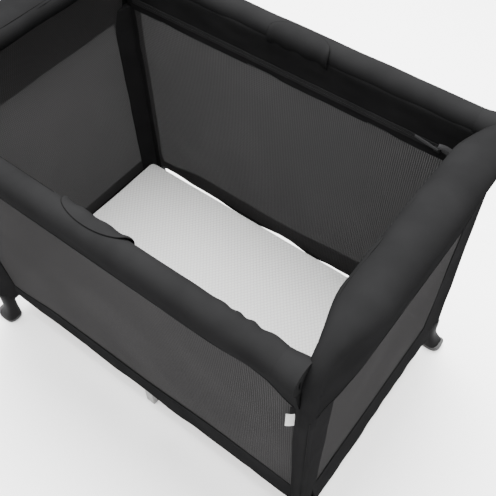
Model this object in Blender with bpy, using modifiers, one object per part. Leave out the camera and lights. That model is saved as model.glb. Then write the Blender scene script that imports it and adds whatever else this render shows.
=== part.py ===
"""Travel play yard: two upright end frames joined by folding top rails and a folding base.

Metres, +Z up. X runs along the long sides, Y across, and the origin is on the floor under the
middle. "left" is -X, "right" is +X, "near" is -Y and "far" is +Y. The end frames stay upright and
slide together as the top rails fold down and the base folds up, all about axes along Y.
"""

import math

import bmesh
import bpy
from mathutils import Matrix, Vector

# ---- driving dimensions ----
PIVOT_X = 0.430          # end pivots of the top rails and of the base, from the middle
HINGE_X = 0.030          # the two pins of each centre hinge, from the middle
TAIL = 0.010             # how far a folding tube runs past its pin
GAP = 0.0003             # between pieces that touch

FRAME_X = 0.482          # plane of the upright end hoops
FRAME_Y = 0.312          # uprights of the hoops
FRAME_TOP_Z = 0.822      # axis of the hoop's top bar
FRAME_R = 0.0125
HOOP_BEND = 0.055        # bend radius of the hoop's corners
LEG_FOOT = (0.496, 0.319, 0.045)    # lower end of a leg's axis: the legs splay outwards
LEG_TOP_Z = 0.6195
HOOP_FOOT_Z = 0.6208

RAIL_Y = 0.319
RAIL_Z = 0.794
RAIL_R = 0.011
ROLL_R = 0.026           # padded sleeve round a top rail
ROUND_FACETS = 20        # sides of the folding tubes and their rolls
ROLL_BORE_R = 0.0114
ROLL_FROM_X, ROLL_TO_X = 0.062, 0.385
TOP_PIN_R = 0.004
TOP_SLOT = (0.3065, 0.3315)         # inner faces of the plates that hold a top rail
PLATE = 0.004

CHANNEL_WALL = 0.003                # centre hinge of a pair of top rails
CHANNEL_HALF_X = 0.045
CHANNEL_Z = (0.7735, 0.7780, 0.8050)          # underside, floor and top edge
BUTTON_X, BUTTON_Y, BUTTON_Z = (-0.011, 0.011), (0.312, 0.326), (0.7655, 0.7790)
BUTTON_PLAY = 0.0008
FLANGE_STEP = 0.0025                # the button's flange is this much wider than its stem
FLANGE_Z = (0.7784, 0.7805)

BRACKET_X, BRACKET_Y, BRACKET_Z = (0.4585, 0.4992), (0.2900, 0.3325), (0.775, 0.8045)
BRACKET_PLATE_R = 0.0120
BRACKET_PLATE_X = 0.470             # where a bracket's plates are rooted

BASE_Y = 0.268
BASE_Z = 0.098
BASE_R = 0.009
BASE_PIN_R = 0.003
BASE_PLATE_R = 0.0085
PIN_PLAY = 0.0004
BEAM_X, BEAM_Y, BEAM_Z = 0.014, 0.284, (0.0835, 0.1045)
BEAM_PLATES_Y = ((0.2535, 0.2575), (0.2785, 0.2825))
BEAM_PIN = 0.024
CENTRE_FOOT_X, CENTRE_FOOT_Y = 0.012, (0.262, 0.284)
CENTRE_FOOT_FLARE = (1.15, 1.15)

BOARD_HALF_Y, BOARD_END_X = 0.272, 0.474
BOARD_Z = (0.1078, 0.1128)
MATTRESS_HALF_Y, MATTRESS_END_X = 0.278, 0.478
MATTRESS_Z = (0.1131, 0.143)

COVER_Z = 0.830          # axis of the padded roll over a hoop
COVER_HALF_X, COVER_HALF_Z = 0.045, 0.035
COVER_LOW_Z = 0.757
END_BAND_X, END_BAND_HALF_Y = (0.500, 0.506), 0.330
END_BAND_Z = (0.645, 0.812)
POCKET = ((0.420, 0.4996), (0.2896, 0.3360), (0.740, 0.8125))      # room for a rail bracket
NEAR_BAND = ((0.3245, 0.764), (0.3180, 0.699))     # y, z of the upper and lower edges
FAR_BAND = ((0.2960, 0.764), (0.2965, 0.685))      # hangs from the roll's inner side
MESH_LOW_Z = 0.167
MESH_LOW_Y = 0.2955
HEM_LOW = (0.300, 0.126)            # y, z of the side hems' lower edge
END_MESH_X, END_MESH_TOP_Z = 0.4928, 0.640
END_HEM_LOW, END_HEM_HALF_Y = (0.512, 0.113), 0.253      # x, z of the end hems' lower edge
WALL_HALF_X = 0.456
END_WALL_HALF_Y = 0.246
SLEEVE_Z = (0.1175, 0.620)

MESH = 0.0025
FABRIC = 0.003
BAND = 0.004

SOLE_TOP_Z = 0.0117
SOLE_X, SOLE_Y = (0.479, 0.541), (0.301, 0.351)
FOOT_TOP_Z = 0.104
FOOT_X, FOOT_Y = (0.478, 0.515), (0.302, 0.338)
FOOT_FLARE, FOOT_LEAN = (1.32, 1.28), (0.009, 0.006)
FOOT_ARM_Y, FOOT_ARM_X = (0.2795, 0.2865), 0.490
FOOT_WEB_X, FOOT_WEB_Y, FOOT_WEB_Z = (0.476, 0.500), 0.312, (0.0900, 0.1060)
FOOT_PIN_Y = (0.259, 0.283)

SLIDER = ((0.372, 0.386), (0.2866, 0.2922), (0.706, 0.718))
PULL = ((0.3265, 0.3815), (0.2843, 0.2861), (0.7065, 0.7175))
LABEL_BOX = ((0.4405, 0.4555), (-0.3184, -0.3172), (0.598, 0.662))

SIDES = {"near": -1, "far": 1}
ENDS = {"left": -1, "right": 1}

for old in list(bpy.data.objects):
    bpy.data.objects.remove(old)

parts = bpy.data.collections.new("travel_play_yard")
cutters = bpy.data.collections.new("cutters")
bpy.context.scene.collection.children.link(parts)
bpy.context.scene.collection.children.link(cutters)


# ---- materials ----
def make_material(name, colour, roughness, metallic=0.0):
    """A Principled BSDF of one colour."""
    made = bpy.data.materials.new(name)
    made.use_nodes = True
    shader = made.node_tree.nodes["Principled BSDF"]
    shader.inputs["Base Color"].default_value = (*colour, 1.0)
    shader.inputs["Roughness"].default_value = roughness
    shader.inputs["Metallic"].default_value = metallic
    made.diffuse_color = (*colour, 1.0)
    return made


BLACK_FABRIC = make_material("black_fabric", (0.018, 0.018, 0.019), 0.85)
MESH_FABRIC = make_material("mesh_fabric", (0.05, 0.05, 0.05), 0.9)
KNIT = make_material("mattress_knit", (0.68, 0.68, 0.67), 0.9)
STEEL = make_material("coated_steel", (0.03, 0.03, 0.032), 0.45, 0.6)
PLASTIC = make_material("black_plastic", (0.03, 0.03, 0.03), 0.5)
RUBBER = make_material("grey_rubber", (0.2, 0.2, 0.2), 0.8)
BOARD = make_material("hardboard", (0.22, 0.15, 0.09), 0.8)
LABEL = make_material("label_tape", (0.6, 0.6, 0.58), 0.8)


# ---- joint empties: each moving piece hangs from the empty on its joint's axis ----
def make_pivot(name, place):
    made = bpy.data.objects.new(name, None)
    made.empty_display_size = 0.02
    made.location = place
    parts.objects.link(made)
    return made


left_frame = make_pivot("left_frame", (-FRAME_X, 0, 0))
right_frame = make_pivot("right_frame", (PIVOT_X, 0, BASE_Z))
top_pivot = {"left": make_pivot("left_top_pivot", (-PIVOT_X, 0, RAIL_Z)),
             "right": make_pivot("right_top_pivot", (HINGE_X, 0, RAIL_Z))}
base_pivot = {"left": make_pivot("left_base_pivot", (-PIVOT_X, 0, BASE_Z)),
              "right": make_pivot("right_base_pivot", (HINGE_X, 0, BASE_Z))}
top_hinge = make_pivot("top_hinge_pivot", (-HINGE_X, 0, RAIL_Z))
base_hinge = make_pivot("base_hinge_pivot", (-HINGE_X, 0, BASE_Z))
end_frame = {"left": left_frame, "right": right_frame}


# ---- modelling helpers ----
def place(obj, name, material, parent):
    """Names a finished piece, gives it its material and hangs it from its pivot."""
    obj.name = name
    obj.data.name = name
    obj.data.materials.clear()
    obj.data.materials.append(material)
    bpy.context.view_layer.update()
    for used in list(obj.users_collection):
        used.objects.unlink(obj)
    parts.objects.link(obj)
    obj.parent = parent
    obj.matrix_parent_inverse = parent.matrix_world.inverted()
    return obj


def combine(obj, other, operation):
    """Joins other to obj or cuts it out of obj; other goes to the cutters."""
    for used in list(other.users_collection):
        used.objects.unlink(other)
    cutters.objects.link(other)
    other.hide_render = True
    other.display_type = "WIRE"
    step = obj.modifiers.new(operation.lower(), "BOOLEAN")
    step.operation = operation
    step.object = other
    step.solver = "EXACT"
    return obj


def from_bmesh(shape, centre=(0, 0, 0)):
    mesh = bpy.data.meshes.new("shape")
    bmesh.ops.recalc_face_normals(shape, faces=shape.faces)
    shape.to_mesh(mesh)
    shape.free()
    made = bpy.data.objects.new("shape", mesh)
    made.location = centre
    bpy.context.scene.collection.objects.link(made)
    return made


def round_edges(obj, width, segments=2, angle=35):
    step = obj.modifiers.new("round", "BEVEL")
    step.width = width
    step.segments = segments
    step.limit_method = "ANGLE"
    step.angle_limit = math.radians(angle)
    return obj


def block(low, high, bevel=0.0, segments=2, taper=(1.0, 1.0), lean=(0.0, 0.0)):
    """A box between two corners; its lower face is taper times as wide and shifted by lean."""
    low, high = Vector(low), Vector(high)
    size, centre = high - low, (low + high) / 2
    shape = bmesh.new()
    bmesh.ops.create_cube(shape, size=1.0)
    for v in shape.verts:
        if v.co.z < 0:
            v.co.x = v.co.x * taper[0] + lean[0] / size.x
            v.co.y = v.co.y * taper[1] + lean[1] / size.y
        v.co = Vector((v.co.x * size.x, v.co.y * size.y, v.co.z * size.z))
    made = from_bmesh(shape, centre)
    return round_edges(made, bevel, segments) if bevel else made


def spanning(x, y, z, **more):
    """A block from (low, high) pairs given in either order."""
    pairs = [sorted(p) for p in (x, y, z)]
    return block([p[0] for p in pairs], [p[1] for p in pairs], **more)


def times(sign, pair):
    return [sign * value for value in pair]


def wider(pair, step):
    return (pair[0] - step, pair[1] + step)


def cylinder(centre, radius, length, axis="Y", sides=16):
    shape = bmesh.new()
    bmesh.ops.create_cone(shape, cap_ends=True, segments=sides, radius1=radius, radius2=radius,
                          depth=length)
    turn = {"X": Matrix.Rotation(math.pi / 2, 4, "Y"), "Y": Matrix.Rotation(math.pi / 2, 4, "X"),
            "Z": Matrix.Identity(4)}[axis]
    bmesh.ops.transform(shape, matrix=turn, verts=shape.verts)
    return from_bmesh(shape, centre)


def tube_curve(points, radius, resolution=2):
    """A round bar along a polyline, as a curve with filled caps."""
    curve = bpy.data.curves.new("tube", "CURVE")
    curve.dimensions = "3D"
    curve.bevel_depth = radius
    curve.bevel_resolution = resolution
    curve.use_fill_caps = True
    spline = curve.splines.new("POLY")
    spline.points.add(len(points) - 1)
    for target, point in zip(spline.points, points):
        target.co = (*point, 1.0)
    made = bpy.data.objects.new("tube", curve)
    bpy.context.scene.collection.objects.link(made)
    return made


def to_mesh(curve_object):
    """The curve as a welded mesh object, for pieces that are cut or joined."""
    bpy.context.view_layer.update()
    seen = curve_object.evaluated_get(bpy.context.evaluated_depsgraph_get())
    mesh = bpy.data.meshes.new_from_object(seen)
    shape = bmesh.new()
    shape.from_mesh(mesh)
    bmesh.ops.remove_doubles(shape, verts=shape.verts, dist=1e-6)
    shape.to_mesh(mesh)
    shape.free()
    made = bpy.data.objects.new("solid", mesh)
    made.matrix_world = curve_object.matrix_world
    bpy.context.scene.collection.objects.link(made)
    bpy.data.objects.remove(curve_object)
    return made


def tube(points, radius, resolution=2):
    return to_mesh(tube_curve(points, radius, resolution))


def plate(outlines, thickness, matrix):
    """A flat outline, with holes where a second outline lies inside the first, given thickness."""
    curve = bpy.data.curves.new("plate", "CURVE")
    curve.dimensions = "2D"
    curve.fill_mode = "BOTH"
    curve.extrude = thickness / 2
    for outline in outlines:
        spline = curve.splines.new("POLY")
        spline.points.add(len(outline) - 1)
        for target, point in zip(spline.points, outline):
            target.co = (point[0], point[1], 0.0, 1.0)
        spline.use_cyclic_u = True
    made = bpy.data.objects.new("plate", curve)
    made.matrix_world = matrix
    bpy.context.scene.collection.objects.link(made)
    return to_mesh(made)


def arc(centre, radius, start, end, steps):
    """Points of a flat arc, angles in degrees."""
    turns = [math.radians(start + (end - start) * k / steps) for k in range(steps + 1)]
    return [(centre[0] + radius * math.cos(a), centre[1] + radius * math.sin(a)) for a in turns]


def link_plate(x_ends, z, radius, y):
    """An upright plate with round ends, between two pins at x_ends, filling the (low, high) y."""
    low_x, high_x = sorted(x_ends)
    outline = arc((low_x, z), radius, 90, 270, 8) + arc((high_x, z), radius, -90, 90, 8)
    middle_y = sum(y) / 2
    upright = Matrix.Translation((0, middle_y, 0)) @ Matrix.Rotation(math.pi / 2, 4, "X")
    return plate([outline], abs(y[1] - y[0]), upright)


def slanted_panel(length, thickness, top, bottom, along="X"):
    """A flat wall of that length, whose section runs from top to bottom, each (across, z)."""
    across, rise = top[0] - bottom[0], top[1] - bottom[1]
    height = math.hypot(across, rise)
    lean = math.atan2(across, rise)
    centre = ((top[0] + bottom[0]) / 2, (top[1] + bottom[1]) / 2)
    size = (length, thickness, height) if along == "X" else (thickness, length, height)
    made = block([-s / 2 for s in size], [s / 2 for s in size])
    if along == "X":
        made.location = (0, centre[0], centre[1])
        made.rotation_euler = (-lean, 0, 0)
    else:
        made.location = (centre[0], 0, centre[1])
        made.rotation_euler = (0, lean, 0)
    return made


# ---- upright end frames ----
def hoop_points(sx, y=FRAME_Y, low=HOOP_FOOT_Z, top=FRAME_TOP_Z, bend=HOOP_BEND, steps=6):
    """Axis of the hoop: up one side, over the top and down the other."""
    side = [(y, low)] + arc((y - bend, top - bend), bend, 0, 90, steps)
    whole = side + [(-a, b) for a, b in reversed(side)]
    return [(sx * FRAME_X, a, b) for a, b in whole]


def leg_axis(sx, sy):
    foot = Vector((sx * LEG_FOOT[0], sy * LEG_FOOT[1], LEG_FOOT[2]))
    top = Vector((sx * FRAME_X, sy * FRAME_Y, LEG_TOP_Z))
    return foot, top


def make_frame_tubes(end, sx):
    place(tube_curve(hoop_points(sx), FRAME_R), f"{end}_hoop", STEEL, end_frame[end])
    for side, sy in SIDES.items():
        leg = tube_curve(leg_axis(sx, sy), FRAME_R)
        place(leg, f"{side}_{end}_leg", STEEL, end_frame[end])


def make_foot(end, sx, side, sy):
    """Moulded foot round the leg's end, with an arm and pin that carry the base."""
    body = spanning(times(sx, FOOT_X), times(sy, FOOT_Y), (SOLE_TOP_Z + GAP, FOOT_TOP_Z),
                    taper=FOOT_FLARE, lean=(sx * FOOT_LEAN[0], sy * FOOT_LEAN[1]))
    arm = link_plate(times(sx, (PIVOT_X, FOOT_ARM_X)), BASE_Z, BASE_PLATE_R, times(sy, FOOT_ARM_Y))
    web = spanning(times(sx, FOOT_WEB_X), times(sy, (FOOT_ARM_Y[0], FOOT_WEB_Y)), FOOT_WEB_Z)
    pin = cylinder((sx * PIVOT_X, sy * sum(FOOT_PIN_Y) / 2, BASE_Z), BASE_PIN_R,
                   FOOT_PIN_Y[1] - FOOT_PIN_Y[0])
    for extra in (web, arm, pin):
        combine(body, extra, "UNION")
    foot, top = leg_axis(sx, sy)
    socket = tube([foot - (top - foot).normalized() * GAP, top], FRAME_R + GAP)
    combine(body, socket, "DIFFERENCE")
    place(body, f"{side}_{end}_foot", PLASTIC, end_frame[end])


def make_sole(end, sx, side, sy):
    """Rubber sole with a toe that points along the long side, away from the middle."""
    sole = spanning(times(sx, SOLE_X), times(sy, SOLE_Y), (0.0, SOLE_TOP_Z), bevel=0.0035)
    place(sole, f"{side}_{end}_sole", RUBBER, end_frame[end])


def make_rail_bracket(end, sx, side, sy):
    """Clamp on the hoop with two plates and the pin that the top rail turns on."""
    body = spanning(times(sx, BRACKET_X), times(sy, BRACKET_Y), BRACKET_Z)
    plate_x = times(sx, (PIVOT_X, BRACKET_PLATE_X))
    inner_y = times(sy, (TOP_SLOT[0] - PLATE, TOP_SLOT[0]))
    outer_y = times(sy, (TOP_SLOT[1], TOP_SLOT[1] + PLATE))
    inner = link_plate(plate_x, RAIL_Z, BRACKET_PLATE_R, inner_y)
    outer = link_plate(plate_x, RAIL_Z, BRACKET_PLATE_R, outer_y)
    pin_mid, pin_length = sum(TOP_SLOT) / 2, TOP_SLOT[1] - TOP_SLOT[0] + PLATE
    pin = cylinder((sx * PIVOT_X, sy * pin_mid, RAIL_Z), TOP_PIN_R, pin_length)
    for extra in (inner, outer, pin):
        combine(body, extra, "UNION")
    combine(body, tube(hoop_points(sx), FRAME_R + GAP), "DIFFERENCE")
    place(body, f"{side}_{end}_rail_bracket", PLASTIC, end_frame[end])


# ---- fabric of the ends ----
def make_end_cover(end, sx):
    """Padded roll over the hoop with the fabric band that hangs outside it."""
    bend = HOOP_BEND + COVER_Z - FRAME_TOP_Z
    path = [(0.0, y, z) for _, y, z in hoop_points(sx, low=COVER_LOW_Z, top=COVER_Z, bend=bend)]
    roll = tube(path, COVER_HALF_Z)
    roll.data.transform(Matrix.Scale(COVER_HALF_X / COVER_HALF_Z, 4, (1, 0, 0)))
    roll.location.x = sx * FRAME_X
    band = spanning(times(sx, END_BAND_X), (-END_BAND_HALF_Y, END_BAND_HALF_Y), END_BAND_Z)
    combine(roll, band, "UNION")
    combine(roll, tube(hoop_points(sx), FRAME_R + GAP), "DIFFERENCE")
    for sy in SIDES.values():
        pocket = spanning(times(sx, POCKET[0]), times(sy, POCKET[1]), POCKET[2])
        combine(roll, pocket, "DIFFERENCE")
    place(roll, f"{end}_end_cover", BLACK_FABRIC, end_frame[end])


def make_end_wall(end, sx):
    mesh_top = (sx * END_MESH_X, END_MESH_TOP_Z)
    mesh_low = (sx * END_MESH_X, MESH_LOW_Z)
    mesh = slanted_panel(2 * END_WALL_HALF_Y, MESH, mesh_top, mesh_low, along="Y")
    place(mesh, f"{end}_end_mesh", MESH_FABRIC, end_frame[end])
    hem_top = (sx * (END_MESH_X + 0.0003), MESH_LOW_Z - 0.001)
    hem_low = (sx * END_HEM_LOW[0], END_HEM_LOW[1])
    hem = slanted_panel(2 * END_HEM_HALF_Y, FABRIC, hem_top, hem_low, along="Y")
    place(hem, f"{end}_end_hem", BLACK_FABRIC, end_frame[end])


def make_sleeve(end, sx, side, sy):
    """Fabric corner sleeve round a leg, closing the corner between the end and side walls."""
    foot, top = leg_axis(sx, sy)
    along = (top - foot).normalized()
    outline = [(0.015, -0.060), (0.0175, 0.0)] + arc((0.001, 0.001), 0.0165, 0, 90, 4)
    outline += [(-0.024, 0.0085), (-0.024, 0.0045), (-0.014, -0.0125), (0.0085, -0.060)]
    outline = [(sx * x, sy * y) for x, y in outline]
    facets = 16
    bore_r = (FRAME_R + GAP) / math.cos(math.pi / facets)
    bore = arc((0.0, 0.0), bore_r, 0, 360, facets)[:-1]
    low_z, high_z = SLEEVE_Z
    middle = foot + along * ((low_z + high_z) / 2 - foot.z) / along.z
    lean = Vector((0, 0, 1)).rotation_difference(along).to_matrix().to_4x4()
    sleeve = plate([outline, bore], high_z - low_z, Matrix.Translation(middle) @ lean)
    place(sleeve, f"{side}_{end}_sleeve", BLACK_FABRIC, end_frame[end])


# ---- fabric of the long sides: it gathers between the ends when the yard folds ----
def make_side_wall(side, sy, band):
    (top_y, top_z), (band_low_y, band_low_z) = band
    length = 2 * WALL_HALF_X
    band = slanted_panel(length, BAND, (sy * top_y, top_z), (sy * band_low_y, band_low_z))
    place(band, f"{side}_band", BLACK_FABRIC, left_frame)
    mesh_top = (sy * (band_low_y - 0.001), band_low_z - 0.0006)
    mesh = slanted_panel(length, MESH, mesh_top, (sy * MESH_LOW_Y, MESH_LOW_Z))
    place(mesh, f"{side}_mesh", MESH_FABRIC, left_frame)
    hem_top = (sy * (MESH_LOW_Y + 0.0003), MESH_LOW_Z - 0.001)
    hem = slanted_panel(length, FABRIC, hem_top, (sy * HEM_LOW[0], HEM_LOW[1]))
    place(hem, f"{side}_hem", BLACK_FABRIC, left_frame)


# ---- folding tubes ----
def folding_tube(sx, sy, y, z, radius, pin_radius):
    """A straight tube between an end pivot and a centre pin, drilled for both pins."""
    inner_x, outer_x = HINGE_X - TAIL, PIVOT_X + TAIL
    bar = cylinder((sx * (inner_x + outer_x) / 2, sy * y, z), radius, outer_x - inner_x, "X",
                   ROUND_FACETS)
    for pin_x in (HINGE_X, PIVOT_X):
        hole = cylinder((sx * pin_x, sy * y, z), pin_radius + PIN_PLAY, 4 * radius)
        combine(bar, hole, "DIFFERENCE")
    return bar


def make_top_rail(end, sx, side, sy):
    rail = folding_tube(sx, sy, RAIL_Y, RAIL_Z, RAIL_R, TOP_PIN_R)
    place(rail, f"{side}_{end}_top_rail", STEEL, top_pivot[end])
    length, middle = ROLL_TO_X - ROLL_FROM_X, sx * (ROLL_TO_X + ROLL_FROM_X) / 2
    roll = cylinder((middle, sy * RAIL_Y, RAIL_Z), ROLL_R, length, "X", ROUND_FACETS)
    bore = cylinder((middle, sy * RAIL_Y, RAIL_Z), ROLL_BORE_R, 1.2 * length, "X", ROUND_FACETS)
    combine(roll, bore, "DIFFERENCE")
    place(roll, f"{side}_{end}_rail_roll", BLACK_FABRIC, top_pivot[end])


def make_top_hinge(side, sy):
    """Channel that carries the inner ends of both rails, open upwards so that they can swing."""
    cheek_x = (-CHANNEL_HALF_X, CHANNEL_HALF_X)
    low_z, floor_z, high_z = CHANNEL_Z
    inner_y, outer_y = TOP_SLOT[0] - CHANNEL_WALL, TOP_SLOT[1] + CHANNEL_WALL
    body = spanning(cheek_x, times(sy, (inner_y, outer_y)), (low_z, floor_z))
    for y in ((inner_y, TOP_SLOT[0]), (TOP_SLOT[1], outer_y)):
        combine(body, spanning(cheek_x, times(sy, y), (low_z, high_z)), "UNION")
    pin_length = TOP_SLOT[1] - TOP_SLOT[0] + PLATE
    for pin_x in (-HINGE_X, HINGE_X):
        combine(body, cylinder((pin_x, sy * RAIL_Y, RAIL_Z), TOP_PIN_R, pin_length), "UNION")
    slot = spanning(wider(BUTTON_X, BUTTON_PLAY), times(sy, wider(BUTTON_Y, BUTTON_PLAY)),
                    wider((low_z, floor_z), BUTTON_PLAY))
    combine(body, slot, "DIFFERENCE")
    place(body, f"{side}_top_hinge", PLASTIC, top_hinge)


def make_lock_button(side, sy):
    """Release button: pushed up from under the rail; its flange keeps it in the channel."""
    button = spanning(BUTTON_X, times(sy, BUTTON_Y), BUTTON_Z)
    flange = spanning(wider(BUTTON_X, FLANGE_STEP), times(sy, wider(BUTTON_Y, FLANGE_STEP)), FLANGE_Z)
    combine(button, flange, "UNION")
    place(button, f"{side}_lock_button", PLASTIC, top_hinge)


# ---- base ----
def make_base_half(end, sx):
    for side, sy in SIDES.items():
        rail = folding_tube(sx, sy, BASE_Y, BASE_Z, BASE_R, BASE_PIN_R)
        place(rail, f"{side}_{end}_base_rail", STEEL, base_pivot[end])
    board = spanning((sx * 0.003, sx * BOARD_END_X), (-BOARD_HALF_Y, BOARD_HALF_Y), BOARD_Z)
    place(board, f"{end}_base_board", BOARD, base_pivot[end])
    pad = spanning((sx * 0.0015, sx * MATTRESS_END_X), (-MATTRESS_HALF_Y, MATTRESS_HALF_Y),
                   MATTRESS_Z, bevel=0.006, segments=1)
    place(pad, f"{end}_mattress", KNIT, base_pivot[end])


def make_base_hinge():
    """Cross beam in the middle of the base, with the plates and pins of its four rails."""
    beam = spanning((-BEAM_X, BEAM_X), (-BEAM_Y, BEAM_Y), BEAM_Z)
    for sy in SIDES.values():
        for y in BEAM_PLATES_Y:
            ends = (-HINGE_X, HINGE_X)
            combine(beam, link_plate(ends, BASE_Z, BASE_PLATE_R, times(sy, y)), "UNION")
        for pin_x in (-HINGE_X, HINGE_X):
            combine(beam, cylinder((pin_x, sy * BASE_Y, BASE_Z), BASE_PIN_R, BEAM_PIN), "UNION")
    place(beam, "base_hinge_beam", PLASTIC, base_hinge)
    for side, sy in SIDES.items():
        foot = spanning((-CENTRE_FOOT_X, CENTRE_FOOT_X), times(sy, CENTRE_FOOT_Y), (0.0, BEAM_Z[0] - GAP),
                        bevel=0.002, taper=CENTRE_FOOT_FLARE)
        place(foot, f"{side}_centre_foot", RUBBER, base_hinge)


# ---- zip and label ----
def make_trims():
    slider = spanning(*SLIDER, bevel=0.0012, segments=1)
    place(slider, "zip_slider", STEEL, right_frame)
    pull = spanning(*PULL, bevel=0.0006, segments=1)
    place(pull, "zip_pull", BLACK_FABRIC, right_frame)
    place(spanning(*LABEL_BOX), "care_label", LABEL, left_frame)


for end_name, end_sign in ENDS.items():
    make_frame_tubes(end_name, end_sign)
    make_end_cover(end_name, end_sign)
    make_end_wall(end_name, end_sign)
    make_base_half(end_name, end_sign)
    for side_name, side_sign in SIDES.items():
        corner = (end_name, end_sign, side_name, side_sign)
        make_foot(*corner)
        make_sole(*corner)
        make_rail_bracket(*corner)
        make_sleeve(*corner)
        make_top_rail(*corner)
make_side_wall("near", -1, NEAR_BAND)
make_side_wall("far", 1, FAR_BAND)
for side_name, side_sign in SIDES.items():
    make_top_hinge(side_name, side_sign)
    make_lock_button(side_name, side_sign)
make_base_hinge()
make_trims()
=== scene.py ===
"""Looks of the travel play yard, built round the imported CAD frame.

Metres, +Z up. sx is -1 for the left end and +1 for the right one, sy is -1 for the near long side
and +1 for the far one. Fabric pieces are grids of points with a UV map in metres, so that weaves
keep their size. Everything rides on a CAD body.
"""

import math
import bmesh
import bpy
import numpy as np
from mathutils import Matrix, Vector


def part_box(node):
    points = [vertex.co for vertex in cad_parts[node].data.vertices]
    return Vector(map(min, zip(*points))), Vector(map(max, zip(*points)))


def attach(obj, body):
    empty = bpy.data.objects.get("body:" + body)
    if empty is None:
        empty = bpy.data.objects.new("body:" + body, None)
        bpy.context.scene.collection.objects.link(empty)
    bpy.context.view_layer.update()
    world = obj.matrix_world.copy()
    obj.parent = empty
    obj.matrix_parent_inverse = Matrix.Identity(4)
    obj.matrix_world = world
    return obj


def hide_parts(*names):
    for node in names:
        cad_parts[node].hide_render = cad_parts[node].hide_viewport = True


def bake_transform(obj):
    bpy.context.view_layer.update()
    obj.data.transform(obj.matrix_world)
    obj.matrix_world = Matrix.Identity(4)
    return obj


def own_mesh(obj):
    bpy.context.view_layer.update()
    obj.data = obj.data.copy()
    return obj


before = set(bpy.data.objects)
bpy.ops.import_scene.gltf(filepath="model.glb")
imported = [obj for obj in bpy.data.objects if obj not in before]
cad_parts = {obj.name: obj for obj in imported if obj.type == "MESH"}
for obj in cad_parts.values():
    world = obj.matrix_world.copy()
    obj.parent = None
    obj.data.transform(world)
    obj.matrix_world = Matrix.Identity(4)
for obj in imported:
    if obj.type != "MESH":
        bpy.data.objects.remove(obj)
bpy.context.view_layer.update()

SIDES = {"near": -1, "far": 1}
ENDS = {"left": -1, "right": 1}

RAIL_Y, RAIL_Z, RAIL_PIVOT_X = 0.319, 0.794, 0.430
ROLL_R = 0.0275
WALL_END_X = 0.466

HOOP_X, POST_Y = 0.482, 0.312
ARCH_Z, ARCH_BEND = 0.830, 0.063
COVER_HALF_X, COVER_HALF_N = 0.045, 0.035
CORNER_HALF_X, CORNER_HALF_N = 0.0168, 0.0165       # the roll is thinner at the corners
BAND_LEAN, CORNER_LEAN = 0.13, 0.008                # how fast the end band comes in below the roll
END_MESH_X = 0.4928
END_BAND_LOW_Z = 0.645
MESH_LOW_Y, MESH_LOW_Z = 0.2955, 0.167
WALL_LOW_Z = 0.132           # where the walls' mesh ends, just under the mattress top
BAND_TOP_Z = 0.792
BAND_LOW = {"near": (0.3185, 0.699), "far": (0.2967, 0.686)}
LEG_FOOT = np.array([0.496, 0.319, 0.045])
LEG_TOP = np.array([0.482, 0.312, 0.6195])
SLEEVE_R = 0.0143


# ---- materials ----
def new_material(name):
    made = bpy.data.materials.new(name)
    made.use_nodes = True
    return made, made.node_tree, made.node_tree.nodes["Principled BSDF"]


def calc(tree, operation, a, b=None):
    """A Math node's output; a and b are numbers or sockets."""
    node = tree.nodes.new("ShaderNodeMath")
    node.operation = operation
    for socket, value in zip(node.inputs, (a, b)):
        if isinstance(value, (int, float)):
            socket.default_value = value
        elif value is not None:
            tree.links.new(value, socket)
    return node.outputs[0]


def ramp(tree, value, low, high, to_low=0.0, to_high=1.0):
    node = tree.nodes.new("ShaderNodeMapRange")
    node.interpolation_type = "SMOOTHSTEP"
    tree.links.new(value, node.inputs[0])
    for socket, number in zip(node.inputs[1:5], (low, high, to_low, to_high)):
        socket.default_value = number
    return node.outputs[0]


def cloth_uv(tree):
    """The two cloth coordinates, in metres."""
    uv = tree.nodes.new("ShaderNodeUVMap")
    uv.uv_map = "cloth"
    split = tree.nodes.new("ShaderNodeSeparateXYZ")
    tree.links.new(uv.outputs[0], split.inputs[0])
    return split.outputs[0], split.outputs[1]


def grain(tree, scale, detail=3.0):
    node = tree.nodes.new("ShaderNodeTexNoise")
    node.inputs["Scale"].default_value = scale
    node.inputs["Detail"].default_value = detail
    place = tree.nodes.new("ShaderNodeTexCoord").outputs["Object"]
    tree.links.new(place, node.inputs["Vector"])
    return node.outputs[0]


def add_bump(tree, shader, height, distance, strength=1.0):
    node = tree.nodes.new("ShaderNodeBump")
    node.inputs["Distance"].default_value = distance
    node.inputs["Strength"].default_value = strength
    tree.links.new(height, node.inputs["Height"])
    tree.links.new(node.outputs[0], shader.inputs["Normal"])


def tint(tree, target, colour, factor, low, high):
    """Colour times a number that goes from low to high with factor."""
    scaled = ramp(tree, factor, 0.0, 1.0, low, high)
    node = tree.nodes.new("ShaderNodeVectorMath")
    node.operation = "SCALE"
    node.inputs[0].default_value = colour
    tree.links.new(scaled, node.inputs["Scale"])
    tree.links.new(node.outputs[0], target)


def waves(tree, u, v, pitch, turn):
    """A sine along a direction turned from u, with that pitch."""
    a, b = math.cos(turn) * 2 * math.pi / pitch, math.sin(turn) * 2 * math.pi / pitch
    return calc(tree, "SINE", calc(tree, "ADD", calc(tree, "MULTIPLY", u, a), calc(tree, "MULTIPLY", v, b)))


def woven_material(name, colour, roughness=0.9, gloss=0.0, pitch=0.0016):
    made, tree, shader = new_material(name)
    u, v = cloth_uv(tree)
    weave = calc(tree, "MULTIPLY", waves(tree, u, v, pitch, 0.0), waves(tree, u, v, pitch, math.pi / 2))
    mottle = grain(tree, 14.0)
    tint(tree, shader.inputs["Base Color"], colour, mottle, 0.82, 1.18)
    shader.inputs["Roughness"].default_value = roughness
    shader.inputs["Specular IOR Level"].default_value = gloss
    fine = calc(tree, "ADD", calc(tree, "MULTIPLY", weave, 0.35), grain(tree, 900.0, detail=2.0))
    add_bump(tree, shader, fine, 0.00025, 0.6)
    return made


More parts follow.
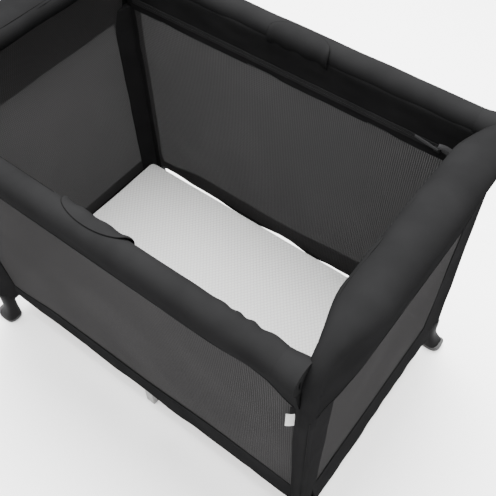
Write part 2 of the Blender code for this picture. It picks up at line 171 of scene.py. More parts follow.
def net_material(name, colour, pitch=0.0046, thin_share=0.05, open_share=0.006):
    """Knitted mesh: a staggered lattice of yarn with small openings that let some light through."""
    made, tree, shader = new_material(name)
    u, v = cloth_uv(tree)
    lattice = calc(tree, "MULTIPLY", waves(tree, u, v, pitch, math.radians(28)),
                   waves(tree, u, v, pitch, math.radians(-28)))
    even = ramp(tree, lattice, -1.0, 1.0)
    threads = calc(tree, "POWER", calc(tree, "ABSOLUTE", waves(tree, u, v, 0.0105, math.radians(6))), 9.0)
    patches = ramp(tree, grain(tree, 4.5, detail=1.0), 0.42, 0.68)
    shade = calc(tree, "ADD", even, calc(tree, "MULTIPLY", calc(tree, "MULTIPLY", threads, patches), 0.6))
    tint(tree, shader.inputs["Base Color"], colour, calc(tree, "MULTIPLY", shade, 0.6), 0.72, 1.75)
    shader.inputs["Roughness"].default_value = 0.9
    shader.inputs["Specular IOR Level"].default_value = 0.0
    add_bump(tree, shader, even, 0.0006, 0.5)
    thin = tree.nodes.new("ShaderNodeBsdfTranslucent")
    tint(tree, thin.inputs["Color"], [1.3 * c for c in colour], even, 0.8, 1.2)
    clear = tree.nodes.new("ShaderNodeBsdfTransparent")
    body = tree.nodes.new("ShaderNodeMixShader")
    body.inputs[0].default_value = thin_share
    tree.links.new(shader.outputs[0], body.inputs[1])
    tree.links.new(thin.outputs[0], body.inputs[2])
    whole = tree.nodes.new("ShaderNodeMixShader")
    holes = ramp(tree, lattice, 0.0, 1.0, 0.0, 4.0 * open_share)
    tree.links.new(holes, whole.inputs[0])
    tree.links.new(body.outputs[0], whole.inputs[1])
    tree.links.new(clear.outputs[0], whole.inputs[2])
    tree.links.new(whole.outputs[0], tree.nodes["Material Output"].inputs["Surface"])
    return made


def quilt_material(name, colour, pitch=0.0088):
    """Knit cover quilted in small diamonds, with painted shade darkening the dimples along the quilting
    lines.
    """
    made, tree, shader = new_material(name)
    u, v = cloth_uv(tree)
    a = calc(tree, "ABSOLUTE", waves(tree, u, v, 2 * pitch, math.radians(38)))
    b = calc(tree, "ABSOLUTE", waves(tree, u, v, 2 * pitch, math.radians(-38)))
    puff_height_and_shade = calc(tree, "POWER", calc(tree, "MULTIPLY", a, b), 0.5)
    # The base colour drops to 0.8 between the puffs: painted shade in the quilted dimples.
    tint(tree, shader.inputs["Base Color"], colour, puff_height_and_shade, 0.80, 1.03)
    shader.inputs["Roughness"].default_value = 0.9
    shader.inputs["Sheen Weight"].default_value = 0.2
    height = calc(tree, "ADD", puff_height_and_shade, calc(tree, "MULTIPLY", grain(tree, 160.0), 0.5))
    add_bump(tree, shader, height, 0.0013, 0.8)
    return made


def plain_material(name, colour, roughness, metallic=0.0, gloss=0.04):
    made, tree, shader = new_material(name)
    shader.inputs["Specular IOR Level"].default_value = gloss
    tint(tree, shader.inputs["Base Color"], colour, grain(tree, 30.0), 0.9, 1.1)
    shader.inputs["Roughness"].default_value = roughness
    shader.inputs["Metallic"].default_value = metallic
    add_bump(tree, shader, grain(tree, 420.0, detail=2.0), 0.00008, 0.6)
    return made


BLACK = woven_material("black_woven", (0.0090, 0.0090, 0.0092))
SATIN = woven_material("black_smooth_woven", (0.0080, 0.0080, 0.0082), 0.8)
NET = net_material("grey_net", (0.0215, 0.0210, 0.0212))
KNIT = quilt_material("white_quilted_knit", (0.46, 0.46, 0.455))
STEEL = plain_material("powder_coat", (0.012, 0.012, 0.0125), 0.45, 0.3)
PLASTIC = plain_material("moulded_plastic", (0.007, 0.007, 0.0073), 0.60)
RUBBER = plain_material("grey_rubber", (0.055, 0.055, 0.055), 0.6)
CLEAR_RUBBER = plain_material("pale_rubber", (0.24, 0.24, 0.236), 0.6)
HARDBOARD = plain_material("hardboard", (0.16, 0.11, 0.065), 0.75)
SEAM = plain_material("seam_thread", (0.004, 0.004, 0.004), 0.8)
TAPE = woven_material("zip_tape", (0.0130, 0.0130, 0.0133), 0.85, 0.05, 0.0012)
ZIP = plain_material("zip_coil", (0.010, 0.010, 0.010), 0.4)
PULL = woven_material("pull_tape", (0.032, 0.032, 0.033), 0.7, 0.1, 0.0010)
WHITE_TAPE = woven_material("label_tape", (0.42, 0.42, 0.41), 0.8, 0.1, 0.0009)


# ---- grids of points ----
def ripple(p, q, seed, waves_in=9):
    """Smooth uneven waves between about -1 and 1 over two coordinates."""
    dice = np.random.default_rng(seed)
    total = np.zeros(np.broadcast(p, q).shape)
    for _ in range(waves_in):
        a, b = dice.normal(0, 1, 2)
        total = total + np.sin(a * p + b * q + dice.uniform(0, 2 * math.pi))
    return total / math.sqrt(waves_in)


def ease(x, low, high):
    t = np.clip((np.asarray(x, float) - low) / (high - low), 0, 1)
    return t * t * (3 - 2 * t)


def normals(rows):
    across = np.gradient(rows, axis=1)
    along = np.gradient(rows, axis=0)
    n = np.cross(across, along)
    return n / np.maximum(np.linalg.norm(n, axis=2, keepdims=True), 1e-9)


def make_piece(name, rows, material, ring=False, thickness=0.0, planar=None):
    """A smooth piece through rows of points.

    ring closes every row and caps both ends; an open sheet gets its thickness to both sides.
    planar names the two axes that give the UV, otherwise it is the length along and across the
    rows.
    """
    rows = np.asarray(rows, float)
    n, m = rows.shape[:2]
    if planar is None:
        wide = np.concatenate([rows, rows[:, :1]], 1) if ring else rows
        step_u = np.linalg.norm(np.diff(wide, axis=1), axis=2).mean(0)
        step_v = np.linalg.norm(np.diff(rows, axis=0), axis=2).mean(1)
        u = np.concatenate([[0.0], np.cumsum(step_u)])
        v = np.concatenate([[0.0], np.cumsum(step_v)])
    layers = [rows]
    if thickness:
        lift = normals(rows) * thickness / 2
        layers = [rows + lift, rows - lift]
    verts = np.concatenate([layer.reshape(-1, 3) for layer in layers])
    faces, corners = [], []

    def corner(i, j):
        if planar is None:
            return (u[j], v[i])
        point = rows[i, j % m]
        return (point[planar[0]], point[planar[1]])

    for k in range(len(layers)):
        base = k * n * m
        for i in range(n - 1):
            for j in range(m if ring else m - 1):
                a, b = base + i * m + j, base + i * m + (j + 1) % m
                faces.append((a, b, b + m, a + m))
                corners.append([corner(i, j), corner(i, j + 1), corner(i + 1, j + 1), corner(i + 1, j)])
    if thickness:
        edge = [(0, j) for j in range(m)] + [(i, m - 1) for i in range(1, n)]
        edge += [(n - 1, j) for j in range(m - 2, -1, -1)] + [(i, 0) for i in range(n - 2, 0, -1)]
        for (i, j), (k, l) in zip(edge, edge[1:] + edge[:1]):
            a, b = i * m + j, k * m + l
            faces.append((a, b, b + n * m, a + n * m))
            corners.append([corner(i, j), corner(k, l), corner(k, l), corner(i, j)])
    elif ring:
        for i in (0, n - 1):
            faces.append(tuple(i * m + j for j in range(m)))
            corners.append([corner(i, j) for j in range(m)])
    mesh = bpy.data.meshes.new(name)
    mesh.from_pydata(verts.tolist(), [], faces)
    layer = mesh.uv_layers.new(name="cloth")
    flat = [c for face in corners for c in face]
    layer.data.foreach_set("uv", np.array(flat, np.float32).ravel())
    mesh.materials.append(material)
    shape = bmesh.new()
    shape.from_mesh(mesh)
    bmesh.ops.recalc_face_normals(shape, faces=shape.faces)
    shape.to_mesh(mesh)
    shape.free()
    mesh.shade_smooth()
    mesh.set_sharp_from_angle(angle=math.radians(50))
    made = bpy.data.objects.new(name, mesh)
    bpy.context.scene.collection.objects.link(made)
    return made


def finish_piece(made, body, stands_for=()):
    if body is not None:
        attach(made, body)
    if stands_for:
        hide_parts(*stands_for)


def circle(count):
    return np.linspace(0, 2 * math.pi, count, endpoint=False)


def make_cord_line(name, points, radius, material, sides=8):
    """A thin round line through points, such as piping or a zip coil."""
    points = np.asarray(points, float)
    along = np.gradient(points, axis=0)
    along /= np.linalg.norm(along, axis=1, keepdims=True)
    up = np.tile([0.0, 0.0, 1.0], (len(points), 1))
    flat = np.abs(along[:, 2]) > 0.9
    up[flat] = [1.0, 0.0, 0.0]
    side = np.cross(along, up)
    side /= np.linalg.norm(side, axis=1, keepdims=True)
    other = np.cross(side, along)
    rows = [[p + radius * (math.cos(t) * s + math.sin(t) * o) for t in circle(sides)]
            for p, s, o in zip(points, side, other)]
    return make_piece(name, rows, material, ring=True)


def smooth_closed(points, per_side=6):
    """A closed Catmull-Rom line through points."""
    points = np.asarray(points, float)
    n = len(points)
    out = []
    for k in range(n):
        p0, p1, p2, p3 = (points[(k + d) % n] for d in (-1, 0, 1, 2))
        for t in np.arange(per_side) / per_side:
            out.append(0.5 * (2 * p1 + (p2 - p0) * t + (2 * p0 - 5 * p1 + 4 * p2 - p3) * t**2
                              + (3 * p1 - p0 - 3 * p2 + p3) * t**3))
    return np.array(out)


# ---- end covers ----
def arch_stations(straight=44, bend=12):
    """Points of the arch (y, z, outward y, outward z), from the near side to the far one."""
    inner = POST_Y - ARCH_BEND
    turns = np.linspace(0, math.pi / 2, bend + 1)
    near = [(-inner - ARCH_BEND * math.cos(t), ARCH_Z - ARCH_BEND + ARCH_BEND * math.sin(t),
             -math.cos(t), math.sin(t)) for t in turns]
    middle = [(y, ARCH_Z, 0.0, 1.0) for y in np.linspace(-inner, inner, straight + 1)[1:-1]]
    far = [(-y, z, -ny, nz) for y, z, ny, nz in reversed(near)]
    return near + middle + far


def corner_share(y):
    """0 along the middle of an end and 1 at its corners."""
    return ease(np.abs(y), 0.17, 0.30)


def outer_x(z, y=0.0):
    """How far out the end cover's outer face is at a height, from the yard's middle."""
    middle = HOOP_X + COVER_HALF_X - BAND_LEAN * (ARCH_Z - z)
    corner = HOOP_X + CORNER_HALF_X - CORNER_LEAN * (ARCH_Z - z)
    return middle + (corner - middle) * corner_share(y)


def inner_half_x(y):
    return COVER_HALF_X + (CORNER_HALF_X - COVER_HALF_X) * corner_share(y)


def band_low_z(y):
    return END_BAND_LOW_Z + 0.004 * ease(abs(y), 0.12, 0.24) + 0.015 * ease(abs(y), 0.235, 0.312)


def section(sx, station, angle, lift=0.0):
    """A point on the roll at an angle: 0 is outward along X, 90 degrees away from the hoop's bar."""
    y, z, ny, nz = station
    half_x = (outer_x(z, y) - HOOP_X if math.cos(angle) > 0 else inner_half_x(y)) + lift
    half_n = COVER_HALF_N + (CORNER_HALF_N - COVER_HALF_N) * corner_share(y) + lift
    away = half_n * math.sin(angle)
    return (sx * (HOOP_X + half_x * math.cos(angle)), y + ny * away, z + nz * away)


def seam_angle(y):
    """The seam runs on the roll's upper inner side and drops to the inner side at the corners."""
    return math.radians(143 + 20 * float(corner_share(y)))


def make_end_cover(end, sx):
    stations = arch_stations()
    rows = []
    for station in stations:
        y, z = station[:2]
        turns = np.linspace(seam_angle(y) + 0.15, 0.07, 26)
        over = [section(sx, station, t) for t in turns]
        low = band_low_z(y)
        share = np.linspace(0, 1, 17)[1:]
        heights = z + (low - z) * share
        hang = [(sx * (outer_x(h, y) - 0.0015 * math.sin(math.pi * s)), y, h)
                for h, s in zip(heights, share)]
        rows.append(over + hang)
    rows = np.array(rows)
    y, drop = rows[:, :, 1], np.arange(rows.shape[1])[None, :] / rows.shape[1]
    fold = 0.0007 * ripple(y * 26, drop * 7, 5 + sx) + 0.0006 * ripple(y * 60, drop * 11, 9 + sx)
    rows += normals(rows) * fold[:, :, None]
    cover = make_piece(f"{end}_cover", rows, SATIN, thickness=0.002)
    finish_piece(cover, f"{end}_end", [f"{end}_end_cover"])


def make_end_lines(end, sx):
    """The cover's seam along the roll and the stitching along its lower edge."""
    stations = arch_stations()
    seam = [section(sx, s, seam_angle(s[0]), 0.0008) for s in stations]
    line = make_cord_line(f"{end}_top_seam", seam, 0.0009, SEAM)
    finish_piece(line, f"{end}_end")

    hem = [(sx * (outer_x(band_low_z(s[0]) + 0.009, s[0]) + 0.0014), s[0], band_low_z(s[0]) + 0.009)
           for s in stations]
    line = make_cord_line(f"{end}_band_stitch", hem, 0.0005, SEAM, 6)
    finish_piece(line, f"{end}_end")


def make_liner(end, sx):
    """The roll's inner face, from the seam round to below the bar."""
    stations = arch_stations()
    liner_end = math.radians(262)
    rows = np.array([[section(sx, s, t, 0.0013) for t in np.linspace(seam_angle(s[0]), liner_end, 20)]
                     for s in stations])
    fold = 0.0007 * ripple(rows[:, :, 1] * 40, rows[:, :, 2] * 30, 31 + sx)
    rows += normals(rows) * fold[:, :, None]
    liner = make_piece(f"{end}_liner_roll", rows, BLACK)
    finish_piece(liner, f"{end}_end")


def make_end_wall(end, sx):
    """Inner mesh wall, from under the roll down to the hem."""
    top_z, free_z = 0.815, 0.612
    rows = []
    for z in np.concatenate([np.linspace(top_z, free_z, 12), np.linspace(0.58, WALL_LOW_Z, 28)]):
        half = 0.258 + 0.024 * float(ease(z, 0.58, 0.70))
        y = np.linspace(-half, half, 61)
        bend = np.sqrt(ARCH_BEND**2 - np.clip(np.abs(y) - POST_Y + ARCH_BEND, 0, None) ** 2)
        height = np.minimum(z, ARCH_Z - ARCH_BEND + bend - 0.012)
        under_roll = HOOP_X - inner_half_x(y) + 0.0055
        drawn_in = np.clip((height - free_z) / (top_z - free_z), 0, 1) ** 1.5
        belly = 0.005 * np.cos(y / half * math.pi / 2) * math.sin(math.pi * min(1, (z - WALL_LOW_Z) / 0.51))
        x = END_MESH_X + (under_roll - END_MESH_X) * drawn_in - belly * (z < free_z)
        x = x + 0.0006 * ripple(y * 18, z * 14, 41 + sx)
        rows.append(np.stack([sx * x, y, height], 1))
    wall = make_piece(f"{end}_mesh_wall", rows, NET)
    finish_piece(wall, f"{end}_end", [f"{end}_end_mesh"])


# ---- corner sleeves and upper posts ----
def leg_at(z):
    share = min(1.0, (z - LEG_FOOT[2]) / (LEG_TOP[2] - LEG_FOOT[2]))
    return LEG_FOOT[:2] + (LEG_TOP - LEG_FOOT)[:2] * share


def side_mesh_y(z, side="near"):
    top_y, top_z = BAND_LOW[side]
    return MESH_LOW_Y + (top_y - 0.001 - MESH_LOW_Y) * (z - MESH_LOW_Z) / (top_z - MESH_LOW_Z)


def sleeve_outline(z, side):
    """Section of a corner sleeve: round the leg outside, straight across the corner inside."""
    cx, cy = leg_at(z)
    mesh_y = side_mesh_y(max(z, 0.15), side)
    inner_x = 0.475
    if abs(cy - mesh_y) < SLEEVE_R:
        inner_x = min(inner_x, cx - math.sqrt(SLEEVE_R**2 - (cy - mesh_y) ** 2))
    low_in, low_out = np.array([inner_x, mesh_y - 0.0012]), np.array([0.4590, mesh_y + 0.0018])
    end_out = np.array([END_MESH_X + 0.0022, 0.2515])
    end_in = np.array([END_MESH_X - 0.0020, 0.2510])
    way = end_in - low_in
    way /= np.linalg.norm(way)
    away = np.array([way[1], -way[0]])
    to_leg = np.array([cx, cy]) - low_in
    away *= -np.sign(to_leg @ away) or 1.0
    push = max(0.0, SLEEVE_R - 0.0010 + to_leg @ away)
    foot = low_in + way * max(0.004, to_leg @ way) + away * push
    turns = np.radians([-45, 0, 45, 90, 135])
    outer = [(cx + SLEEVE_R * math.cos(t), cy + SLEEVE_R * math.sin(t)) for t in turns]
    swing = [end_out, (max(cx + 0.006, END_MESH_X + 0.003), cy - 0.034)] + outer
    return np.array([*swing, low_out, low_in, foot, (foot + end_in) / 2, end_in])


def make_sleeve(end, sx, side, sy):
    rows = []
    heights = np.linspace(0.1125, 0.688, 46)
    for z in heights:
        loop = smooth_closed(sleeve_outline(z, side), 4)
        rows.append([(sx * x, sy * y, z) for x, y in loop])
    rows = np.array(rows)
    angle = np.linspace(0, 2 * math.pi, rows.shape[1])[None, :]
    fold = 0.0006 * ripple(rows[:, :, 2] * 40, 2 * angle, 60 + sx + 3 * sy)
    rows += normals(rows) * fold[:, :, None]
    sleeve = make_piece(f"{side}_{end}_corner", rows, BLACK, ring=True)
    finish_piece(sleeve, f"{end}_end", [f"{side}_{end}_sleeve"])

    piping = []
    reach = 0.74 * SLEEVE_R
    for z in np.linspace(0.118, 0.660, 56):
        cx, cy = leg_at(z)
        piping.append((sx * (cx + reach), sy * (cy + reach), z))
    line = make_cord_line(f"{side}_{end}_corner_piping", piping, 0.0013, BLACK)
    finish_piece(line, f"{end}_end")


def make_upper_post(end, sx, side, sy):
    """The padded cover's leg below the arch, narrowing into the corner sleeve."""
    rows = []
    for z in np.linspace(ARCH_Z - ARCH_BEND + 0.001, 0.630, 22):
        half = CORNER_HALF_N - 0.0015 * float(ease(0.767 - z, 0.0, 0.10))
        rows.append([(sx * (HOOP_X + half * math.cos(t)), sy * (POST_Y + half * math.sin(t)), z)
                     for t in circle(40)])
    post = make_piece(f"{side}_{end}_upper_post", rows, SATIN, ring=True)
    finish_piece(post, f"{end}_end")


def make_bracket(end, sx, side, sy):
    """Clamp on the hoop with two plates and a pin for the top rail, hidden under the fabric."""
    block = [(0.4680, 0.777), (0.4920, 0.777), (0.4920, 0.797), (0.4680, 0.797)]
    round_end = [(RAIL_PIVOT_X + 0.012 * math.cos(t), RAIL_Z + 0.012 * math.sin(t))
                 for t in np.radians(np.linspace(90, 270, 13))]
    plate = round_end + [(0.472, RAIL_Z - 0.012), (0.472, RAIL_Z + 0.010)]
    pin = [(RAIL_PIVOT_X + 0.004 * math.cos(t), RAIL_Z + 0.004 * math.sin(t)) for t in circle(16)]
    for kind, outline, from_y, to_y in (("clamp", block, 0.2960, 0.3170),
                                        ("inner_plate", plate, 0.3025, 0.3065),
                                        ("outer_plate", plate, 0.3315, 0.3350),
                                        ("pin", pin, 0.3040, 0.3340)):
        rows = [[(sx * x, sy * y, z) for x, z in outline] for y in (from_y, to_y)]
        made = make_piece(f"{side}_{end}_rail_{kind}", rows, PLASTIC, ring=True)
        finish_piece(made, f"{end}_end", [f"{side}_{end}_rail_bracket"])


# ---- long sides ----
def side_point(sy, x, angle, radius):
    return (x, sy * (RAIL_Y + radius * math.cos(angle)), RAIL_Z + radius * math.sin(angle))


def roll_radius(side, x, angle):
    """Padding radius with puckers: strong on the near roll's right half, weak on the far one's left."""
    radius = ROLL_R + 0.0005 * ripple(x * 30, angle * 1.5, 71 if side == "near" else 73)
    inner = ease(np.cos(angle), 0.2, -0.9)
    if side == "near":
        pucker = ease(x, 0.20, 0.40)
    else:
        pucker = 0.4 * ease(-x, 0.20, 0.40)
    return radius + 0.0019 * pucker * inner * np.sin(x * 150 + 2.2 * np.sin(x * 37) + angle)


def make_side_roll(end, sx, side, sy):
    """Padded roll on one half of a top rail."""
    straight_x, dome_length, end_radius = 0.428, 0.036, 0.0262
    xs = np.concatenate([[0.0], np.linspace(0.004, straight_x, 90)])
    turns = circle(40)
    rows = [[side_point(sy, sx * x, t, roll_radius(side, sx * x, t)) for t in turns] for x in xs]
    for k in range(1, 7):
        angle = math.radians(15 * k - 5)
        x = straight_x + dome_length * math.sin(angle)
        rows.append([side_point(sy, sx * x, t, end_radius * math.cos(angle)) for t in turns])
    roll = make_piece(f"{side}_{end}_roll", rows, BLACK, ring=True)
    finish_piece(roll, None, [f"{side}_{end}_rail_roll"])
    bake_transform(roll)

    if side == "near" and end == "left":
        seam = [side_point(sy, sx * x, math.radians(139), ROLL_R + 0.0004)
                for x in np.linspace(0.07, 0.425, 60)]
        line = make_cord_line(f"{side}_{end}_roll_seam", seam, 0.0007, SEAM, 6)
        finish_piece(line, f"top_{end}")


def make_roll_end(end, sx, side, sy):
    """The fixed padded end that the roll meets at its pivot."""
    turns = circle(40)
    rows = []
    for k in range(6):
        angle = math.radians(18 * k)
        x = RAIL_PIVOT_X - 0.0268 * math.cos(angle)
        rows.append([side_point(sy, sx * x, t, 0.0268 * math.sin(angle) + 1e-4) for t in turns])
    for x in np.linspace(RAIL_PIVOT_X, 0.472, 10):
        swell = ROLL_R + 0.004 * float(ease(x, 0.430, 0.465))
        rows.append([side_point(sy, sx * x, t, swell) for t in turns])
    stub = make_piece(f"{side}_{end}_roll_end", rows, BLACK, ring=True)
    finish_piece(stub, f"{end}_end")


def band_edge_z(side, x):
    """Lower edge of a side band, which dips towards the corners."""
    low = BAND_LOW[side][1]
    if side == "far":
        return low
    x = np.abs(x)
    return low + 0.012 * np.exp(-(((x - 0.365) / 0.05) ** 2)) - 0.026 * ease(x, 0.40, 0.462)


def band_spread(share):
    """Half the distance between the two sides of a band, from the rail (0) to its edge (1)."""
    return np.interp(share, [0, 0.07, 1], [0.0270, 0.0266, 0.0017]) - 0.0010 * np.sin(math.pi * share)


def make_side_band(side, sy):
    """Fabric that runs from both sides of the roll to the mesh, sewn together below."""
    low_y = BAND_LOW[side][0]
    xs = np.linspace(-0.470, 0.470, 150)
    share = np.linspace(0, 1, 12)
    rows = []
    for x in xs:
        low = float(band_edge_z(side, x))
        heights = BAND_TOP_Z + (low - BAND_TOP_Z) * share
        spread = band_spread(share)
        middle_y = low_y + (RAIL_Y - low_y) * (1 - share)
        outer = [(x, sy * (m + w), z) for m, w, z in zip(middle_y, spread, heights)]
        inner = [(x, sy * (m - w), z) for m, w, z in zip(middle_y, spread, heights)]
        top = [(x, sy * (RAIL_Y + d), 0.800) for d in (-0.018, 0.0, 0.018)]
        rows.append(outer + inner[::-1] + top)
    rows = np.array(rows)
    place = np.arange(rows.shape[1])[None, :]
    fold = 0.0007 * ripple(rows[:, :, 0] * 24, rows[:, :, 2] * 30 + place, 81 + sy)
    rows[:, :, 1] += fold * ease(rows[:, :, 2], 0.80, 0.77)
    band = make_piece(f"{side}_side_band", rows, BLACK, ring=True)
    finish_piece(band, "left_end", [f"{side}_band"])
    squash_wall(band)

    points = [(x, sy * (low_y + 0.0045), float(band_edge_z(side, x)) + 0.008)
              for x in np.linspace(-0.46, 0.46, 90)]
    line = make_cord_line(f"{side}_band_stitch", points, 0.0005, SEAM, 6)
    finish_piece(line, "left_end")
    squash_wall(line)


def squash_wall(piece):
    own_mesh(piece)


def make_side_mesh(side, sy):
    xs = np.linspace(-WALL_END_X, WALL_END_X, 121)
    rows = []
    for x in xs:
        top = float(band_edge_z(side, x)) + 0.004
        heights = np.linspace(top, WALL_LOW_Z, 42)
        share = (heights - WALL_LOW_Z) / (top - WALL_LOW_Z)
        belly = 0.006 * np.sin(math.pi * share) * math.cos(x / WALL_END_X * math.pi / 2)
        y = side_mesh_y(heights, side) - belly
        y = y + 0.0008 * ripple(x * 13, heights * 16, 91 + sy) * np.sin(math.pi * share)
        rows.append(np.stack([np.full_like(y, x), sy * y, heights], 1))
    wall = make_piece(f"{side}_mesh_wall", rows, NET)
    finish_piece(wall, "left_end", [f"{side}_mesh"])
    squash_wall(wall)


END_HEM = [(0.0000, 0.1700), (0.0045, 0.1560), (0.0095, 0.1400), (0.0138, 0.1260), (0.0160, 0.1170),
           (0.0162, 0.1130), (0.0140, 0.1108), (0.0060, 0.1102), (0.0006, 0.1106),
           (0.0006, 0.1122), (0.0040, 0.1130), (0.0098, 0.1180), (0.0070, 0.1290),
           (0.0030, 0.1420), (0.0006, 0.1560), (0.0004, 0.1700)]


def hem_wave(along, length, seed):
    """How far a hem's loose lower edge swings at a place along it, calm at both ends."""
    calm = float(ease(length - abs(along), 0.0, 0.05))
    slow = 0.0024 * float(ripple(along * 11, 0.0, seed))
    quick = 0.0010 * float(ripple(along * 40, 1.0, seed + 1))
    return calm * (slow + quick)


def side_hem_top(x):
    """The sewn line between mesh and hem rises from the left corner to the right one."""
    return 0.186 - 0.026 * ease(-x, 0.28, 0.44) + 0.026 * ease(x, -0.02, 0.30)


def make_side_hem(side, sy):
    half_length = 0.462
    rows = []
    for x in np.linspace(-half_length, half_length, 160):
        wave = hem_wave(x, half_length, 101 + sy)
        top = float(side_hem_top(x))
        low = 0.1255 + 1.7 * wave - 0.012 * math.exp(-(((x - 0.11) / 0.045) ** 2))
        low -= 0.008 * math.exp(-(((x + 0.10) / 0.05) ** 2))
        heights = np.linspace(top, low + 0.002, 12)
        outer = []
        for z in heights:
            share = (top - z) / (top - low)
            swing = 0.0028 * share + max(0.0, wave + 0.0015) * share**2
            out = side_mesh_y(max(z, MESH_LOW_Z), side) + 0.0014 + swing
            outer.append((x, sy * (out + 0.0006 * math.sin(math.pi * share)), z))
        under = [(x, sy * (outer[-1][1] * sy - 0.0016), low), (x, sy * (MESH_LOW_Y + 0.0018), low + 0.0008)]
        inner = [(x, sy * (side_mesh_y(max(z, MESH_LOW_Z), side) + 0.0005), z) for z in heights[::-1]]
        rows.append(outer + under + inner)
    hem = make_piece(f"{side}_hem_strip", rows, BLACK, ring=True)
    finish_piece(hem, "left_end", [f"{side}_hem"])
    squash_wall(hem)


def make_end_hem(end, sx):
    half_length = 0.264
    rows = []
    for y in np.linspace(-half_length, half_length, 100):
        wave = hem_wave(y, half_length, 111 + sx)
        row = []
        for out, z in END_HEM:
            loose = wave * float(ease(0.165 - z, 0.0, 0.045)) * (1.0 if out > 0.001 else 0.0)
            row.append((sx * (END_MESH_X + 0.0012 + out + loose), y, z + 0.7 * loose))
        rows.append(row)
    hem = make_piece(f"{end}_hem_strip", rows, BLACK, ring=True)
    finish_piece(hem, f"{end}_end", [f"{end}_end_hem"])


def make_flap(side, sy):
    """D-shaped fabric flap over the centre hinge, laid from the inside over the roll."""
    middle, half = 0.028, 0.077
    rows = []
    for x in np.linspace(middle - half, middle + half, 49):
        reach = math.sqrt(max(0.0, 1 - ((x - middle) / half) ** 2))
        edge = 158 - 78 * reach**0.8
        turns = np.radians(np.linspace(212, edge, 18))
        row = []
        for t in turns:
            side_share = float(ease(-math.cos(t), 0.1, 0.9))
            loose = 0.0012 + 0.0022 * side_share * (0.5 + 0.5 * math.cos(x * 120))
            loose += 0.0016 * side_share * math.exp(-(((abs(x - middle) - half + 0.006) / 0.008) ** 2))
            row.append(side_point(sy, x, t, ROLL_R + 0.0004 + loose))
        rows.append(row)
    flap = make_piece(f"{side}_hinge_flap", rows, BLACK, thickness=0.0014)
    finish_piece(flap, "top_hinge")
    border = [row[-1] for row in rows]
    line = make_cord_line(f"{side}_flap_edge", border, 0.0009, SEAM, 6)
    finish_piece(line, "top_hinge")


# ---- zip, label ----
def far_band_inner_y(z):
    low_y, low_z = BAND_LOW["far"]
    share = (BAND_TOP_Z - z) / (BAND_TOP_Z - low_z)
    return low_y + (RAIL_Y - low_y) * (1 - share) - band_spread(share)


def make_zip():
    """Binding and zip coil along the far band."""
    xs = np.linspace(-0.462, 0.462, 120)
    rows = [[(x, far_band_inner_y(z) - 0.0008 + 0.0002 * math.sin(x * 90), z)
             for z in np.linspace(0.7035, 0.7205, 5)] for x in xs]
    tape = make_piece("far_zip_tape", rows, TAPE, thickness=0.0010)
    finish_piece(tape, "left_end")
    squash_wall(tape)
    slider_low, slider_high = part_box("zip_slider")
    line_z = (slider_low.z + slider_high.z) / 2
    points = [(x, far_band_inner_y(line_z) - 0.0006, line_z + 0.0005 * math.sin(x * 2 * math.pi / 0.004))
              for x in np.linspace(-0.456, slider_low.x, 540)]
    coil = make_cord_line("far_zip_coil", points, 0.0012, ZIP, 6)
    finish_piece(coil, "left_end")
    squash_wall(coil)


def make_zip_garage():
    """Small tape pocket that covers the slider's right end."""
    slider_low, slider_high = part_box("zip_slider")
    line_z = (slider_low.z + slider_high.z) / 2
    rows = []
    for share in np.linspace(0, 1, 18):
        half = 0.0105 * (math.sin(math.pi * (0.08 + 0.84 * share))) ** 0.35
        x = slider_high.x - 0.008 + 0.040 * share
        rows.append([(x, far_band_inner_y(line_z) - 0.0010 - 0.0052 * (1 - t * t) * (1 - 0.6 * share),
                      line_z + 0.006 + half * t - 0.003 * share) for t in np.linspace(-1, 1, 9)])
    garage = make_piece("zip_garage", rows, PULL, thickness=0.0010)
    finish_piece(garage, "right_end")


def make_zip_pull():
    """Tapered fabric tab on the slider."""
    slider_low, slider_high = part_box("zip_slider")
    pull_low, pull_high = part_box("zip_pull")
    line_z = (slider_low.z + slider_high.z) / 2
    rows = []
    for share in np.linspace(0, 1, 26):
        x = pull_low.x + (pull_high.x - pull_low.x) * share
        wide = 0.0058 * math.sin(math.pi * (0.06 + 0.72 * share)) ** 0.45 * (1 - 0.45 * share)
        flat = 0.0009 if 0 < share < 1 else 0.0003
        rise = 0.003 + 0.009 * (1 - share)
        rows.append([(x, pull_low.y + 0.0009 + flat * math.cos(t), line_z + rise + wide * math.sin(t))
                     for t in circle(14)])
    pull = make_piece("zip_pull_tab", rows, PULL, ring=True)
    finish_piece(pull, "zip_pull", ["zip_pull"])


def make_label():
    """Two blank sewn tabs at the near right corner, turned outwards from the seam."""
    seam = np.array([0.4625, -side_mesh_y(0.63) - 0.0030])
    turned_out = np.array([-0.78, -0.62])
    for name, width, z, material in (("label_white", 0.0155, (0.600, 0.650), WHITE_TAPE),
                                     ("label_black", 0.0095, (0.6505, 0.678), BLACK)):
        rows = []
        for share in np.linspace(0, 1, 8):
            x, y = seam + turned_out * (share * width + 0.0012) + [0, -0.0012 * math.sin(math.pi * share)]
            rows.append([(x, y, height) for height in np.linspace(*z, 6)])
        tab = make_piece(name, rows, material, thickness=0.0008)
        finish_piece(tab, "left_end", ["care_label"])
        squash_wall(tab)


# ---- feet ----
def rounded_section(centre, half, power=3.2, count=40):
    """Superellipse outline round a centre."""
    out = []
    for t in circle(count):
        c, s = math.cos(t), math.sin(t)
        grow = (abs(c) ** power + abs(s) ** power) ** (-1 / power)
        out.append((centre[0] + half[0] * c * grow, centre[1] + half[1] * s * grow))
    return out


